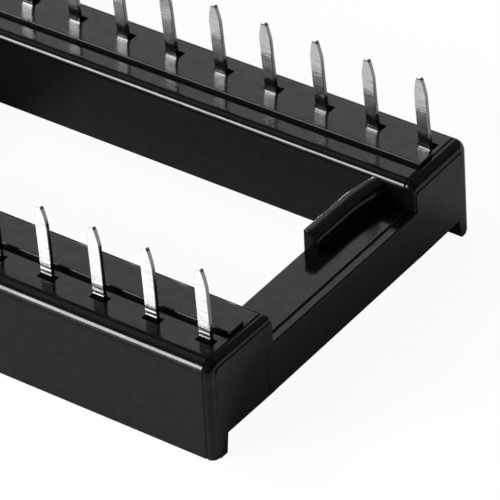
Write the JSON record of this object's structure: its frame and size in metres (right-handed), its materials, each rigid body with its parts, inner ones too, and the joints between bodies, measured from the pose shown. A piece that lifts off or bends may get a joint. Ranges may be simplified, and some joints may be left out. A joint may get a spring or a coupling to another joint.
{
  "type": "ic socket",
  "caption": "Wide open-frame socket that plugs a dual-in-line chip into a circuit board: rails joined by crossbars, with spring contacts whose flat tails stand out of the rails.",
  "frame": {"origin": "middle of the socket's outline, on the plane of the two lips' feet", "axes": "+X along the rails towards the end that the picture shows, +Y from row a to row b, +Z from the chip side to the tips of the solder tails"},
  "size_m": [0.0508, 0.0182, 0.0078],
  "materials": {
    "housing": "satin gloss black",
    "contact": "bright tin plate"
  },
  "bodies": {
    "root": {"housing": "housing", "contact_a01": "contact", "contact_a02": "contact", "contact_a03": "contact", "contact_a04": "contact", "contact_a05": "contact", "contact_a06": "contact", "contact_a07": "contact", "contact_a08": "contact", "contact_a09": "contact", "contact_a10": "contact", "contact_a11": "contact", "contact_a12": "contact", "contact_a13": "contact", "contact_a14": "contact", "contact_a15": "contact", "contact_a16": "contact", "contact_a17": "contact", "contact_a18": "contact", "contact_a19": "contact", "contact_a20": "contact", "contact_b01": "contact", "contact_b02": "contact", "contact_b03": "contact", "contact_b04": "contact", "contact_b05": "contact", "contact_b06": "contact", "contact_b07": "contact", "contact_b08": "contact", "contact_b09": "contact", "contact_b10": "contact", "contact_b11": "contact", "contact_b12": "contact", "contact_b13": "contact", "contact_b14": "contact", "contact_b15": "contact", "contact_b16": "contact", "contact_b17": "contact", "contact_b18": "contact", "contact_b19": "contact", "contact_b20": "contact"}
  },
  "joints": []
}
